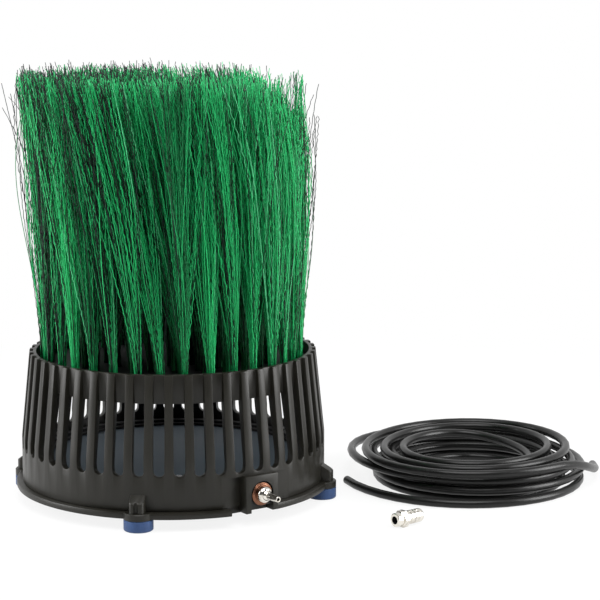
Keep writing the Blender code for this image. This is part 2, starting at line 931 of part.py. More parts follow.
makeFeet(blueRubber)
makeFootScrews(steelMetal)
makeTray(blackPlastic)
makeBasket(blackPlastic)
makeBallast(steelMetal)
makeDiffuser(darkPlastic)
makeSeal(greyRubber)
makeMembrane(greyRubber)
makeClampRing(darkPlastic)
makeClampScrews(steelMetal)
makeBrushPlate(darkPlastic)
makeBrushScrews(steelMetal)
makeBristleRing("brush_outer_ring", [0], greenNylon)
makeBristleRing("brush_middle_ring", [1], blackNylon)
makeBristleRing("brush_core", list(range(2, tuftRings)), greenNylon)
makeNozzle(nickelMetal, copperMetal)
makeHose(hoseRubber)
makeValve(nickelMetal, greyRubber, steelMetal)

for item in partCollection.objects:
    if item.type == "MESH":
        shadeRound(item)
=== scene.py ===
import math

import bmesh
import bpy
import numpy as np
from mathutils import Matrix, Vector


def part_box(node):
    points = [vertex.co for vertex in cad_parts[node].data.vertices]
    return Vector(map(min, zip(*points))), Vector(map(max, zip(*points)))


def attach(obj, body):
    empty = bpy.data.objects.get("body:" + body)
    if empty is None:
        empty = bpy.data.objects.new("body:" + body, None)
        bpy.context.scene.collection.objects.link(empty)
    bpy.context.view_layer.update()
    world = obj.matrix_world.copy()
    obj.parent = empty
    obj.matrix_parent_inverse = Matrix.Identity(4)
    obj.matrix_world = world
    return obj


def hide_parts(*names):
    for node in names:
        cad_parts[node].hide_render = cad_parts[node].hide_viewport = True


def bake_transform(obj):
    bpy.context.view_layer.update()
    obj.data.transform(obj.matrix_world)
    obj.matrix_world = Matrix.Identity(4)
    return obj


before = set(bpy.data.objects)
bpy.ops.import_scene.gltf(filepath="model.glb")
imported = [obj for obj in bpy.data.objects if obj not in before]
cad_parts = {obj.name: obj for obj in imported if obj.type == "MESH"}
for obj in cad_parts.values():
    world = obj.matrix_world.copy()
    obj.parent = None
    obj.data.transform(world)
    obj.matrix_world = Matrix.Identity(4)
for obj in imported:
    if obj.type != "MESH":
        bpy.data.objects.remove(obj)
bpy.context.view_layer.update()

scene = bpy.context.scene
scene.view_settings.view_transform = "Standard"

gap = 0.0003                    # clearance between neighbouring pieces
sharpAngle = math.radians(35)   # edges steeper than this stay sharp


def spin(angle):
    return Matrix.Rotation(angle, 4, "Z")


def polar(radius, angle, height=0.0):
    return Vector((radius * math.cos(angle), radius * math.sin(angle), height))


def newMesh(name, shape):
    bmesh.ops.recalc_face_normals(shape, faces=shape.faces)
    mesh = bpy.data.meshes.new(name)
    shape.to_mesh(mesh)
    shape.free()
    return mesh


def newObject(name, data):
    made = bpy.data.objects.new(name, data)
    scene.collection.objects.link(made)
    return made


def smooth(mesh):
    mesh.shade_smooth()
    mesh.set_sharp_from_angle(angle=sharpAngle)


def addPiece(name, shape, material, slot, *nodes):
    # a piece that rides on the root body and stands for these CAD nodes
    piece = newObject(name, newMesh(name, shape))
    piece.data.materials.append(material)
    smooth(piece.data)
    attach(piece, "root")
    if nodes:
        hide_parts(*nodes)
    return piece


def roundEdges(piece, width):
    bevel = piece.modifiers.new("roundedEdges", "BEVEL")
    bevel.width = width
    bevel.segments = 2
    bevel.limit_method = "ANGLE"
    bevel.angle_limit = math.radians(32)


def applyModifiers(piece):
    graph = bpy.context.evaluated_depsgraph_get()
    mesh = bpy.data.meshes.new_from_object(piece.evaluated_get(graph))
    piece.modifiers.clear()
    piece.data = mesh


def bake(piece):
    # the mesh takes its final shape
    applyModifiers(piece)
    smooth(piece.data)


def lathe(profile, segments=96, closed=True):
    # profile of (radius, height), down the outside and up the inside; radius 0 closes on the axis
    shape = bmesh.new()
    rings = []
    for radius, height in profile:
        if radius < 1e-7:
            rings.append([shape.verts.new((0, 0, height))])
        else:
            angles = [2 * math.pi * k / segments for k in range(segments)]
            rings.append([shape.verts.new(polar(radius, a, height)) for a in angles])
    pairs = list(zip(rings, rings[1:]))
    if closed:
        pairs.append((rings[-1], rings[0]))
    for upper, lower in pairs:
        for k in range(segments):
            n = (k + 1) % segments
            corners = [upper[k % len(upper)], upper[n % len(upper)]]
            corners += [lower[n % len(lower)], lower[k % len(lower)]]
            unique = list(dict.fromkeys(corners))
            if len(unique) > 2:
                shape.faces.new(unique)
    return shape


def addBox(shape, low, high):
    size = [b - a for a, b in zip(low, high)]
    middle = [(a + b) / 2 for a, b in zip(low, high)]
    place = Matrix.Translation(middle) @ Matrix.Diagonal((*size, 1.0))
    bmesh.ops.create_cube(shape, size=1.0, matrix=place)


def cutWith(piece, shape, operation="DIFFERENCE"):
    cutter = newObject("cutter", newMesh("cutter", shape))
    change = piece.modifiers.new("cut", "BOOLEAN")
    change.operation = operation
    change.solver = "EXACT"
    change.object = cutter
    applyModifiers(piece)
    bpy.data.objects.remove(cutter)


# the photograph's viewing angle
cameraPlace = {
    "turn": -35.3,          # the inlet points right of the viewer by this many degrees
    "side": 0.08833,
    "back": 1.51757,
    "height": 0.38964,
    "tilt": 9.497,
    "focalPixels": 2221.3,
    "imagePixels": 600,
}


def makeCamera(v):
    data = bpy.data.cameras.new("camera")
    data.sensor_width = 36.0
    data.lens = v["focalPixels"] * data.sensor_width / v["imagePixels"]
    data.clip_start = 0.05
    data.clip_end = 30.0
    camera = newObject("camera", data)
    turn = math.radians(v["turn"])
    camera.location = spin(turn) @ Vector((v["side"], -v["back"], v["height"]))
    camera.rotation_euler = (math.radians(90 - v["tilt"]), 0.0, turn)
    scene.camera = camera


makeCamera(cameraPlace)
viewTurn = spin(math.radians(cameraPlace["turn"]))


def feed(tree, made, values):
    # another node's output is linked to its input, a plain value is set
    for key, value in values.items():
        if isinstance(value, bpy.types.NodeSocket):
            tree.links.new(value, made.inputs[key])
        else:
            made.inputs[key].default_value = value
    return made


def node(tree, kind, values=None, **settings):
    made = tree.nodes.new(kind)
    for key, value in settings.items():
        setattr(made, key, value)
    return feed(tree, made, values or {})


def objectPlace(tree):
    return node(tree, "ShaderNodeTexCoord").outputs["Object"]


def attribute(tree, name):
    return node(tree, "ShaderNodeAttribute", attribute_name=name).outputs["Fac"]


def calculate(tree, operation, one, two):
    return node(tree, "ShaderNodeMath", {0: one, 1: two}, operation=operation).outputs["Value"]


def mapRange(tree, value, start, end, low, high, kind="LINEAR"):
    values = {"Value": value, "From Min": start, "From Max": end, "To Min": low, "To Max": high}
    return node(tree, "ShaderNodeMapRange", values, interpolation_type=kind).outputs["Result"]


def noise(tree, place, size, detail, roughness=0.5, distortion=0.0):
    values = {"Scale": size, "Detail": detail, "Roughness": roughness, "Distortion": distortion}
    return node(tree, "ShaderNodeTexNoise", {"Vector": place, **values}).outputs["Fac"]


def mixed(tree, factor, one, two, blend="MIX"):
    values = {"Factor": factor, "A": one, "B": (*two, 1.0)}
    return node(tree, "ShaderNodeMix", values, data_type="RGBA", blend_type=blend).outputs["Result"]


def bumped(tree, height, strength, distance):
    values = {"Height": height, "Strength": strength, "Distance": distance}
    return node(tree, "ShaderNodeBump", values).outputs["Normal"]


def ramp(tree, factor, stops):
    made = node(tree, "ShaderNodeValToRGB", {"Fac": factor})
    elements = made.color_ramp.elements
    while len(elements) < len(stops):
        elements.new(0.5)
    for element, (place, colour) in zip(elements, stops):
        element.position = place
        element.color = (*colour, 1.0)
    return made.outputs["Color"]


def newGroup(name, inputs, outputs):
    group = bpy.data.node_groups.new(name, "ShaderNodeTree")
    for label, value in inputs.items():
        socket = group.interface.new_socket(label, in_out="INPUT", socket_type="NodeSocketFloat")
        socket.default_value = value
    for label in outputs:
        group.interface.new_socket(label, in_out="OUTPUT", socket_type="NodeSocketFloat")
    return group, node(group, "NodeGroupInput").outputs, node(group, "NodeGroupOutput")


def makeGrainGroup():
    # moulded surface: fine spark-eroded grain, broad unevenness, and a faint dusting
    inputs = {"Grain Size": 900.0, "Blotch Size": 18.0}
    group, given, end = newGroup("mouldedGrain", inputs, ["Height", "Blotch", "Speck"])
    place, grain = objectPlace(group), given["Grain Size"]
    dots = node(group, "ShaderNodeTexVoronoi", {"Vector": place, "Scale": grain}, feature="F1")
    values = {
        "Height": noise(group, place, grain, 3.0, 0.6),
        "Blotch": noise(group, place, given["Blotch Size"], 4.0, 0.55),
        "Speck": mapRange(group, dots.outputs["Distance"], 0.0, 0.16, 1.0, 0.0),
    }
    feed(group, end, values)
    return group


def makeScratchGroup():
    # fine marks and dull patches on metal
    group, given, end = newGroup("handlingScratches", {"Scale": 300.0}, ["Mask", "Height"])
    marks = noise(group, objectPlace(group), given["Scale"], 6.0, 0.7, 0.4)
    feed(group, end, {"Mask": mapRange(group, marks, 0.45, 0.72, 0.0, 1.0), "Height": marks})
    return group


grainGroup = makeGrainGroup()
scratchGroup = makeScratchGroup()
noiseMiddle = (0.3, 0.7)        # most of a noise lies between these


def baseMaterial(name):
    material = bpy.data.materials.new(name)
    material.use_nodes = True
    tree = material.node_tree
    return material, tree, tree.nodes["Principled BSDF"]


def mouldedMaterial(name, **v):
    # moulded plastic or rubber: two close tones, grain in the bump, uneven gloss
    material, tree, shader = baseMaterial(name)
    sizes = {"Grain Size": v["grain"], "Blotch Size": v["blotch"]}
    grain = node(tree, "ShaderNodeGroup", sizes, node_tree=grainGroup).outputs
    tone = ramp(tree, grain["Blotch"], list(zip(noiseMiddle, (v["dark"], v["light"]))))
    dust = calculate(tree, "MULTIPLY", grain["Speck"], v["dust"])
    values = {
        "Base Color": mixed(tree, dust, tone, v["dustColour"]),
        "Roughness": mapRange(tree, grain["Blotch"], *noiseMiddle, *v["rough"]),
        "Normal": bumped(tree, grain["Height"], v["bump"], 0.0001),
        "Specular IOR Level": v["specular"],
    }
    feed(tree, shader, values)
    return material


def metalMaterial(name, **v):
    # clean and dull patches that differ in tone and gloss
    material, tree, shader = baseMaterial(name)
    scratch = node(tree, "ShaderNodeGroup", {"Scale": v["scale"]}, node_tree=scratchGroup).outputs
    values = {
        "Base Color": ramp(tree, scratch["Mask"], [(0.0, v["clean"]), (1.0, v["dull"])]),
        "Roughness": mapRange(tree, scratch["Mask"], 0.0, 1.0, *v["rough"]),
        "Normal": bumped(tree, scratch["Height"], v["bump"], 0.00005),
        "Metallic": 1.0,
    }
    feed(tree, shader, values)
    return material


def filamentMaterial(name, **v):
    # nylon filament: each strand has its own tone, and painted shade darkens the inner ones towards their
    # roots
    material, tree, shader = baseMaterial(name)
    place = objectPlace(tree)
    tone = ramp(tree, attribute(tree, "tone"), v["tones"])
    height = node(tree, "ShaderNodeSeparateXYZ", {"Vector": place}).outputs["Z"]
    # painted shade: darker towards the roots, most on the inner rings, in the rootShade colour
    low = mapRange(tree, height, v["lowHeight"], v["highHeight"], 1.0, 0.0)
    deep = mapRange(tree, attribute(tree, "depth"), 0.0, 0.3, v["outerShade"], 1.0)
    amount = calculate(tree, "MULTIPLY", low, deep)
    values = {
        "Base Color": mixed(tree, amount, tone, v["rootShade"], "MULTIPLY"),
        "Roughness": mapRange(tree, noise(tree, place, 260.0, 2.0), *noiseMiddle, *v["rough"]),
        "Specular IOR Level": v["specular"],
    }
    feed(tree, shader, values)
    return material


blackPlastic = mouldedMaterial(
    "blackPlastic",
    dark=(0.0088, 0.0082, 0.0058),
    light=(0.0130, 0.0122, 0.0092),
    dust=0.10,
    dustColour=(0.038, 0.036, 0.030),
    grain=1400.0,
    blotch=22.0,
    rough=(0.33, 0.44),
    bump=0.22,
    specular=0.29,
)
innerPlastic = mouldedMaterial(
    "innerPlastic",
    dark=(0.0050, 0.0052, 0.0056),
    light=(0.0090, 0.0094, 0.0100),
    dust=0.06,
    dustColour=(0.03, 0.03, 0.033),
    grain=1200.0,
    blotch=30.0,
    rough=(0.45, 0.58),
    bump=0.2,
    specular=0.25,
)
blueRubber = mouldedMaterial(
    "blueRubber",
    dark=(0.013, 0.038, 0.112),
    light=(0.019, 0.055, 0.155),
    dust=0.12,
    dustColour=(0.06, 0.10, 0.18),
    grain=1600.0,
    blotch=60.0,
    rough=(0.48, 0.62),
    bump=0.3,
    specular=0.4,
)
membraneRubber = mouldedMaterial(
    "membraneRubber",
    dark=(0.058, 0.083, 0.106),
    light=(0.080, 0.111, 0.138),
    dust=0.45,
    dustColour=(0.030, 0.040, 0.055),
    grain=620.0,
    blotch=14.0,
    rough=(0.50, 0.66),
    bump=0.35,
    specular=0.4,
)
hoseRubber = mouldedMaterial(
    "hoseRubber",
    dark=(0.0042, 0.0042, 0.0040),
    light=(0.0072, 0.0072, 0.0069),
    dust=0.04,
    dustColour=(0.04, 0.04, 0.04),
    grain=700.0,
    blotch=40.0,
    rough=(0.26, 0.35),
    bump=0.10,
    specular=0.31,
)
nickelMetal = metalMaterial(
    "nickelMetal",
    clean=(0.78, 0.75, 0.69),
    dull=(0.55, 0.51, 0.44),
    scale=260.0,
    rough=(0.12, 0.30),
    bump=0.12,
)
copperMetal = metalMaterial(
    "copperMetal",
    clean=(0.210, 0.098, 0.060),
    dull=(0.060, 0.025, 0.015),
    scale=320.0,
    rough=(0.22, 0.42),
    bump=0.2,
)
steelMetal = metalMaterial(
    "steelMetal",
    clean=(0.60, 0.60, 0.60),
    dull=(0.42, 0.42, 0.42),
    scale=220.0,
    rough=(0.25, 0.42),
    bump=0.2,
)
# lowHeight, highHeight and outerShade set the painted shade near the roots: where it fades out, and how
# little of it the outer ring gets
filament = {"lowHeight": 0.105, "highHeight": 0.175, "outerShade": 0.10, "rough": (0.36, 0.50)}
greenFilament = filamentMaterial(
    "greenFilament",
    **filament,
    tones=[
        (0.05, (0.001, 0.070, 0.020)),
        (0.35, (0.004, 0.230, 0.068)),
        (0.70, (0.014, 0.470, 0.138)),
        (0.92, (0.050, 0.640, 0.215)),
        (1.00, (0.090, 0.520, 0.235)),
    ],
    # colour of the painted shade at the roots
    rootShade=(0.10, 0.16, 0.13),
    specular=0.28,
)
blackFilament = filamentMaterial(
    "blackFilament",
    **filament,
    tones=[
        (0.0, (0.001, 0.004, 0.003)),
        (0.6, (0.002, 0.008, 0.006)),
        (1.0, (0.006, 0.014, 0.011)),
    ],
    # colour of the painted shade at the roots
    rootShade=(0.4, 0.4, 0.4),
    specular=0.25,
)
print("materials made")


# a loose coil in layers that spiral in and out, a bare end on each side
hose = {
    "diameter": 0.0060,
    "bore": 0.0040,
    "boreDepth": 0.012,
    "rimRound": 0.0003,
    "centre": (0.1987, -0.0880),
    "turn": math.radians(-35.3),
    "start": math.radians(191.9),
    "turns": 11.5,
    "layers": 4,
    "radius": 0.0795,
    "pitch": 0.0127,
    "layerStep": 0.0065,
    "climbTurns": 0.5,
    "sweepTurns": 0.22,
    "innerSweep": 0.0051,
    "outerSweep": 0.0061,
    "headTurns": 0.3,
    "head": 0.0110,
    "tailTurns": 0.263,
    "tail": 0.0099,
    "tailFlat": 0.4,
    "shift": [(0.0, -0.003), (-0.0004, -0.003), (-0.0047, 0.0014), (-0.0021, -0.002)],
    "stretch": [(1.03, 1.13), (1.01, 1.09), (1.01, 1.155), (1.02, 1.145)],
    "axis": [math.radians(angle) for angle in (0.0, -10.5, 27.6, -20.6)],
    "loopPoints": 40,
    "sides": 16,
}


def smoothStep(share):
    share = min(1.0, max(0.0, share))
    return share * share * (3 - 2 * share)


def layerBlend(v, turn, values):
    width = v["turns"] / v["layers"]
    blended = np.array(values[0], dtype=float)
    for layer in range(1, v["layers"]):
        share = smoothStep((turn - layer * width) / v["climbTurns"] + 0.5)
        blended += share * (np.array(values[layer], dtype=float) - np.array(values[layer - 1]))
    return blended


def coilRise(v, turn):
    # radius and height after some turns: the spiral runs in and out, a layer at a time
    width = v["turns"] / v["layers"]
    layer = min(v["layers"] - 1, int(turn // width))
    along = turn - layer * width
    radius = v["radius"] - v["pitch"] * (along if layer % 2 == 0 else width - along)
    height = v["diameter"] / 2
    for reverse in range(1, v["layers"]):
        beyond = turn - reverse * width
        near = math.exp(-((beyond / v["sweepTurns"]) ** 2))
        radius += v["outerSweep"] * near if reverse % 2 == 0 else -v["innerSweep"] * near
        height += v["layerStep"] * smoothStep(beyond / v["climbTurns"] + 0.5)
    if turn < v["headTurns"]:
        radius += v["head"] * (1 - turn / v["headTurns"]) ** 1.5
    tail = 1 - (v["turns"] - turn) / v["tailTurns"]
    if tail > 0:
        radius += v["tail"] * tail**1.5
        height -= (height - v["diameter"] / 2) * smoothStep((tail - v["tailFlat"]) / (1 - v["tailFlat"]))
    return radius, height


def coilPoint(v, turn):
    # each layer's loops are stretched along their own axis, which loosens the pile
    radius, height = coilRise(v, turn)
    shift = layerBlend(v, turn, v["shift"])
    stretch = layerBlend(v, turn, v["stretch"])
    axis = float(layerBlend(v, turn, v["axis"]))
    angle = v["start"] + 2 * math.pi * turn - axis
    loop = Vector((stretch[0] * radius * math.cos(angle), stretch[1] * radius * math.sin(angle), height))
    laid = Vector((*shift, 0.0)) + spin(axis) @ loop
    return Matrix.Translation((*v["centre"], 0.0)) @ spin(v["turn"]) @ laid


def sweep(path, sections, sides):
    # a round skin along a path; sections are (point index, radius) rings in order
    points = [Vector(p) for p in path]
    ahead = []
    for k in range(len(points)):
        first = points[max(0, k - 1)]
        last = points[min(len(points) - 1, k + 1)]
        ahead.append((last - first).normalized())
    across = [Vector((0, 0, 1)).cross(ahead[0]).normalized()]
    for k in range(1, len(points)):
        side = across[-1] - ahead[k] * across[-1].dot(ahead[k])
        across.append(side.normalized())
    shape = bmesh.new()
    rings = []
    for k, radius in sections:
        other = ahead[k].cross(across[k])
        ring = []
        for s in range(sides):
            a = 2 * math.pi * s / sides
            ring.append(shape.verts.new(points[k] + radius * (math.cos(a) * across[k] + math.sin(a) * other)))
        rings.append(ring)
    for one, two in zip(rings, rings[1:]):
        for s in range(sides):
            n = (s + 1) % sides
            shape.faces.new((one[s], one[n], two[n], two[s]))
    shape.faces.new(rings[0][::-1])
    shape.faces.new(rings[-1])
    return shape


def makeHose(v):
    steps = math.ceil(v["turns"] * v["loopPoints"])
    path = [coilPoint(v, v["turns"] * k / steps) for k in range(steps + 1)]
    length = sum((b - a).length for a, b in zip(path, path[1:]))
    outer = v["diameter"] / 2
    inner = v["bore"] / 2
    rim = outer - v["rimRound"]
    deep = next(k for k in range(1, steps) if (path[k] - path[0]).length > v["boreDepth"])
    sections = [(k, inner) for k in range(deep, -1, -1)]
    sections += [(0, rim)]
    sections += [(k, outer) for k in range(0, steps + 1)]
    sections += [(steps, rim)]
    sections += [(k, inner) for k in range(steps, steps - deep - 1, -1)]
    shape = sweep(path, sections, v["sides"])
    piece = addPiece("airHose", shape, hoseRubber, "hose_rubber", "air_hose_coil")
    print(f"hose laid, {length:.2f} m")
    return piece, path, length


airHose, hosePath, hoseLength = makeHose(hose)


basket = {
    "slots": 48,
    "foot": 0.0127,
    "slotWidth": 0.0076,
    "slotBottom": 0.0354,
    "slotTop": 0.0828,
    "rows": (0.052, 0.060, 0.068, 0.076),
    "bottomRadius": 0.1053,
    "topRadius": 0.0992,
    "taperStart": 0.0440,
    "ribDepth": 0.0045,
    "collarRadius": 0.0967,
    "collarWall": 0.0022,
    "ledgeInner": 0.0900,
    "ledgeDepth": (0.0123, 0.0168),     # below the rim
    "edge": 0.00035,
    "arcSteps": 6,
}


def wallRadius(v, height, top):
    share = max(0.0, (height - v["taperStart"]) / (top - v["taperStart"]))
    return v["bottomRadius"] + share * (v["topRadius"] - v["bottomRadius"])


def innerRadius(v, height):
    collarInner = v["collarRadius"] - v["collarWall"]
    lower = v["bottomRadius"] - v["ribDepth"]
    share = min(1.0, max(0.0, (height - v["taperStart"]) / (v["slotTop"] - v["taperStart"])))
    return lower + share * (collarInner - lower)


def makeSlottedWall(v, top):
    # one slot's sector, rib middle to rib middle, then turned round the axis
    half = v["slotWidth"] / 2
    sector = math.pi / v["slots"]
    shape = bmesh.new()

    def vert(radius, offset, height, edge=False):
        # offset is an angle from the slot's middle, or a distance from it where edge is set
        angle = math.asin(offset / radius) if edge else offset
        return shape.verts.new((radius * math.cos(angle), radius * math.sin(angle), height))

    quarter = np.linspace(0, math.pi / 2, v["arcSteps"] + 1)
    arc = [(half * math.sin(a), half * (1 - math.cos(a))) for a in quarter]
    heights = [v["slotBottom"] + half, v["taperStart"], *v["rows"], v["slotTop"]]
    for side in (1, -1):

        def columns(radiusAt):
            # one face of the half sector, from the split height up to the slot's top
            below = [vert(radiusAt(v["foot"]), side * x, v["foot"], True) for x, _ in arc]
            bend = [vert(radiusAt(v["slotBottom"] + z), side * x, v["slotBottom"] + z, True) for x, z in arc]
            middle = [vert(radiusAt(v["foot"]), side * sector, v["foot"])]
            middle.append(vert(radiusAt(heights[0]), side * sector, heights[0]))
            edge = [bend[-1]]
            for height in heights[1:]:
                edge.append(vert(radiusAt(height), side * half, height, True))
                middle.append(vert(radiusAt(height), side * sector, height))
            for k in range(len(arc) - 1):
                shape.faces.new((below[k], below[k + 1], bend[k + 1], bend[k]))
            shape.faces.new((below[-1], middle[0], middle[1], edge[0]))
            for k in range(len(heights) - 1):
                shape.faces.new((edge[k], middle[k + 1], middle[k + 2], edge[k + 1]))
            return below, bend, edge, middle

        outer = columns(lambda z: wallRadius(v, z, top))
        inner = columns(lambda z: innerRadius(v, z))
        # the slot's side and its round bottom
        around = outer[1] + outer[2][1:]
        inside = inner[1] + inner[2][1:]
        for k in range(len(around) - 1):
            shape.faces.new((around[k], around[k + 1], inside[k + 1], inside[k]))
        # underside at the split
        under = outer[0] + [outer[3][0]]
        underIn = inner[0] + [inner[3][0]]
        for k in range(len(under) - 1):
            shape.faces.new((under[k], under[k + 1], underIn[k + 1], underIn[k]))
        # collar and the rib's upper part
        collar = v["collarRadius"]
        ribTop = [
            vert(wallRadius(v, top, top), side * half, top, True),
            vert(wallRadius(v, top, top), side * sector, top),
        ]
        footEdge = vert(collar, side * half, v["slotTop"], True)
        footMiddle = vert(collar, 0.0, v["slotTop"])
        headEdge = vert(collar, side * half, top, True)
        headMiddle = vert(collar, 0.0, top)
        backInner = v["collarRadius"] - v["collarWall"]
        backEdge = vert(backInner, side * half, top, True)
        backMiddle = vert(backInner, 0.0, top)
        backRib = vert(backInner, side * sector, top)
        footBack = vert(innerRadius(v, v["slotTop"]), 0.0, v["slotTop"])
        shape.faces.new((outer[2][-1], outer[3][-1], ribTop[1], ribTop[0]))
        shape.faces.new((outer[2][-1], ribTop[0], headEdge, footEdge))
        shape.faces.new((footEdge, headEdge, headMiddle, footMiddle))
        shape.faces.new((footEdge, footMiddle, footBack, inner[2][-1]))
        shape.faces.new((outer[2][-1], footEdge, inner[2][-1]))
        shape.faces.new((ribTop[0], ribTop[1], backRib, backEdge, headEdge))
        shape.faces.new((headEdge, backEdge, backMiddle, headMiddle))
        shape.faces.new((backMiddle, backEdge, inner[2][-1], footBack))
        shape.faces.new((backEdge, backRib, inner[3][-1], inner[2][-1]))
    sectorMesh = newMesh("slotSector", shape)
    whole = bmesh.new()
    for k in range(v["slots"]):
        before = len(whole.verts)
        whole.from_mesh(sectorMesh)
        whole.verts.ensure_lookup_table()
        bmesh.ops.transform(whole, matrix=spin(2 * math.pi * k / v["slots"]), verts=whole.verts[before:])
    bpy.data.meshes.remove(sectorMesh)
    bmesh.ops.remove_doubles(whole, verts=whole.verts, dist=0.00002)
    bmesh.ops.dissolve_degenerate(whole, edges=whole.edges, dist=0.000005)
    return whole


tower = {
    "width": 0.0100,
    "reach": 0.1126,
    "top": 0.0240,
    "fall": 0.0050,
    "circle": 0.1050,
    "corner": 0.0026,
    "channel": 0.0015,
    "edge": 0.0005,
}
inlet = {
    "height": 0.0208,
    "padWidth": 0.0255,
    "padReach": 0.1100,
    "padTop": 0.0337,
    "padBottom": 0.0085,
    "notchRadius": 0.0087,
    "notchStart": 0.083,
    "bayPlane": 0.1019,
    "bayTop": 0.0330,
    "bayHalf": 0.03825,
    "trayCut": (-0.0223, 0.0133),
}
corners = {"front_left": 225, "front_right": 315, "rear_right": 45, "rear_left": 135}
footAngles = {corner: math.radians(angle) for corner, angle in corners.items()}


def notchShape(radius, near, far, low, height):
    # upside-down U that runs along the inlet's axis
    arc = [math.pi * k / 24 for k in range(25)]
    outline = [(radius * math.cos(a), -near, height + radius * math.sin(a)) for a in arc]
    outline = [(radius, -near, low)] + outline + [(-radius, -near, low)]
    shape = bmesh.new()
    face = shape.faces.new([shape.verts.new(point) for point in outline])
    for item in bmesh.ops.extrude_face_region(shape, geom=[face])["geom"]:
        if isinstance(item, bmesh.types.BMVert):
            item.co.y = -far
    return shape


def bevelAll(shape, width):
    sharp = [edge for edge in shape.edges if len(edge.link_faces) == 2 and edge.calc_face_angle(0) > 0.6]
    bmesh.ops.bevel(shape, geom=sharp, offset=width, segments=2, profile=0.5, affect="EDGES")


def towerShape(t, low):
    # screw post with round corners, a half-round channel down its face and a sloping top
    inner, half, corner, channel = t["circle"] - 0.0005, t["width"] / 2, t["corner"], t["channel"]
    start, quarter = t["reach"] - corner, np.linspace(0, math.pi / 2, 6)
    side = [(start + corner * math.sin(a), corner - half - corner * math.cos(a)) for a in quarter]
    hollow = [
        (t["reach"] - channel * math.sin(a), -channel * math.cos(a)) for a in np.linspace(0, math.pi, 9)
    ]
    outline = [(inner, -half)] + side + hollow + [(x, -y) for x, y in reversed(side)] + [(inner, half)]
    shape = bmesh.new()
    face = shape.faces.new([shape.verts.new((x, y, low)) for x, y in outline])
    moved = bmesh.ops.extrude_face_region(shape, geom=[face])["geom"]
    upper = [item for item in moved if isinstance(item, bmesh.types.BMVert)]
    for vert in upper:
        vert.co.z = t["top"] - t["fall"] * (vert.co.x - inner) / (t["reach"] - inner)
    bmesh.ops.recalc_face_normals(shape, faces=shape.faces)
    rim = [edge for edge in shape.edges if edge.verts[0] in upper and edge.verts[1] in upper]
    bmesh.ops.bevel(shape, geom=rim, offset=t["edge"], segments=2, profile=0.5, affect="EDGES")
    return shape


def makeBasket(v, t, n):
    low, high = (Vector(corner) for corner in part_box("basket_housing"))
    shape = makeSlottedWall(v, high.z)
    wall = addPiece("basketWall", shape, blackPlastic, "black_plastic", "basket_housing")
    roundEdges(wall, v["edge"])
    bake(wall)

    bay = bmesh.new()
    addBox(bay, (-n["bayHalf"], -high.x - 0.01, -0.01), (n["bayHalf"], -n["bayPlane"], n["bayTop"]))
    cutWith(wall, bay)
    for angle in footAngles.values():
        shape = towerShape(t, low.z)
        bmesh.ops.transform(shape, matrix=spin(angle), verts=shape.verts)
        cutWith(wall, shape, "UNION")
    pad = bmesh.new()
    half = n["padWidth"] / 2
    back = -v["bottomRadius"] + v["ribDepth"] - gap
    addBox(pad, (-half, -n["padReach"], n["padBottom"]), (half, back, n["padTop"]))
    bevelAll(pad, 0.0006)
    cutWith(wall, pad, "UNION")
    cutWith(wall, notchShape(n["notchRadius"], n["notchStart"], 0.14, -0.01, n["height"]))
    bake(wall)
    outer = v["collarRadius"] - v["collarWall"] + gap
    upper, lower = high.z - v["ledgeDepth"][0], high.z - v["ledgeDepth"][1]
    ledge = lathe([(outer, upper), (outer, lower), (v["ledgeInner"], lower), (v["ledgeInner"], upper)])
    addPiece("brushLedge", ledge, blackPlastic, "black_plastic")


makeBasket(basket, tower, inlet)
print("basket made")

tray = {
    "flange": 0.1095,
    "inner": 0.0970,
    "top": 0.0124,
    "floor": 0.0109,
    "bottom": 0.0079,
    "edge": 0.0009,
    "lobe": 0.0099,
    "lobeEdge": 0.0005,
    "openingDepth": 0.1002,
}


def makeTray(v, n):
    rim, bottom, top, edge = v["flange"], v["bottom"], v["top"], v["edge"]
    profile = [
        (0.0, v["floor"]),
        (v["inner"], v["floor"]),
        (v["inner"], top),
        (rim - edge, top),
        (rim - edge * 0.3, top - edge * 0.3),
        (rim, top - edge),
        (rim, bottom + edge),
        (rim - edge * 0.3, bottom + edge * 0.3),
        (rim - edge, bottom),
        (0.0, bottom),
    ]
    shape = lathe(profile, 192, closed=False)
    piece = addPiece("baseTray", shape, blackPlastic, "black_plastic", "base_tray")
    side, edge = v["lobe"], v["lobeEdge"]
    for angle in footAngles.values():
        profile = [(0.0, top), (side - edge, top), (side, top - edge), (side, bottom), (0.0, bottom)]
        lobe = lathe(profile, 48, closed=False)
        bmesh.ops.translate(lobe, verts=lobe.verts, vec=polar(tower["circle"], angle))
        cutWith(piece, lobe, "UNION")
    opening = bmesh.new()
    left, right = n["trayCut"]
    addBox(opening, (left, -0.2, -0.01), (right, -v["openingDepth"], top + 0.01))
    cutWith(piece, opening)
    bake(piece)


makeTray(tray, inlet)

foot = {
    "radius": 0.0099,
    "height": 0.0076,
    "edge": 0.0012,
    "topEdge": 0.0004,
    "pocket": 0.0039,
    "pocketDepth": 0.0040,
    "bore": 0.0020,
}


def makeFeet(v):
    radius, edge, height = v["radius"], v["edge"], v["height"]
    for corner, angle in footAngles.items():
        quarter = np.linspace(0, math.pi / 2, 5)
        rounded = [(radius - edge + edge * math.cos(a), edge - edge * math.sin(a)) for a in quarter]
        profile = [(radius - v["topEdge"], height), (radius, height - v["topEdge"])] + rounded
        profile += [
            (v["pocket"], 0.0),
            (v["pocket"], v["pocketDepth"]),
            (v["bore"], v["pocketDepth"]),
            (v["bore"], height),
        ]
        shape = lathe(profile, 64)
        bmesh.ops.translate(shape, verts=shape.verts, vec=polar(tower["circle"], angle))
        title = "rubberFoot" + corner.title().replace("_", "")
        addPiece(title, shape, blueRubber, "blue_rubber", f"foot_{corner}")


makeFeet(foot)
print("tray and feet made")

chamber = {
    "membrane": 0.0885,
    "top": 0.0276,
    "low": 0.0256,
    "ringInner": 0.0855,
    "ringStep": 0.0895,
    "ringOuter": 0.0950,
    "innerHeight": 0.0015,
    "outerHeight": 0.0032,
}


